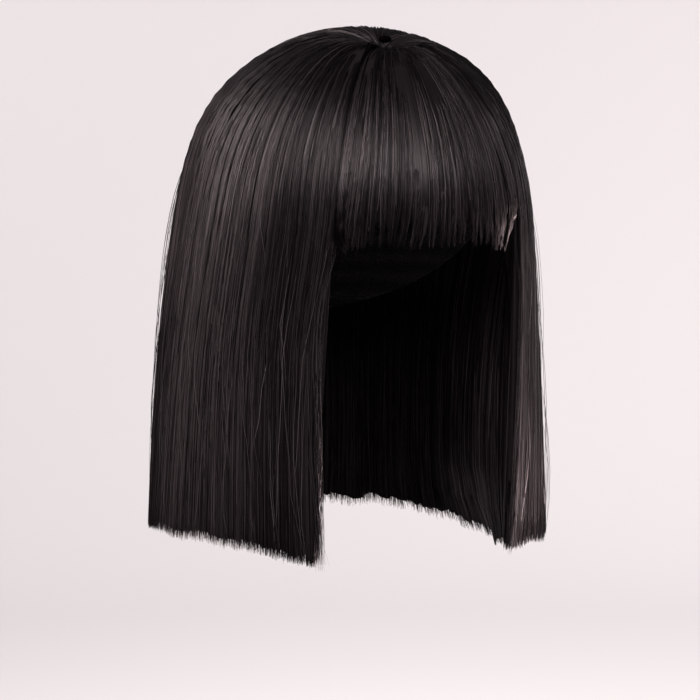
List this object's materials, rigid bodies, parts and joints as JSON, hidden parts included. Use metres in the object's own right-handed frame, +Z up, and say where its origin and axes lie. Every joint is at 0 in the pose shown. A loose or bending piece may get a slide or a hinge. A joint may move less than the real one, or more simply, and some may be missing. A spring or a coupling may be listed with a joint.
{
  "type": "bob wig",
  "caption": "Straight black bob wig with a blunt fringe, combed from a whorl on the crown and sewn to a thin cap, open at the face and neck",
  "frame": {"origin": "the top of the wearer's head, on the inner face of the cap", "axes": "+Z up; the fringe and the open face look along -Y; +X is the wearer's left"},
  "size_m": [0.2338, 0.2225, 0.292],
  "materials": {
    "hair": "straight synthetic fibre with a soft sheen",
    "cap": "matt elastic net"
  },
  "bodies": {
    "root": {"wig_cap": "cap", "fringe": "hair", "side_hair_left": "hair", "side_hair_right": "hair", "back_hair": "hair"}
  },
  "joints": []
}
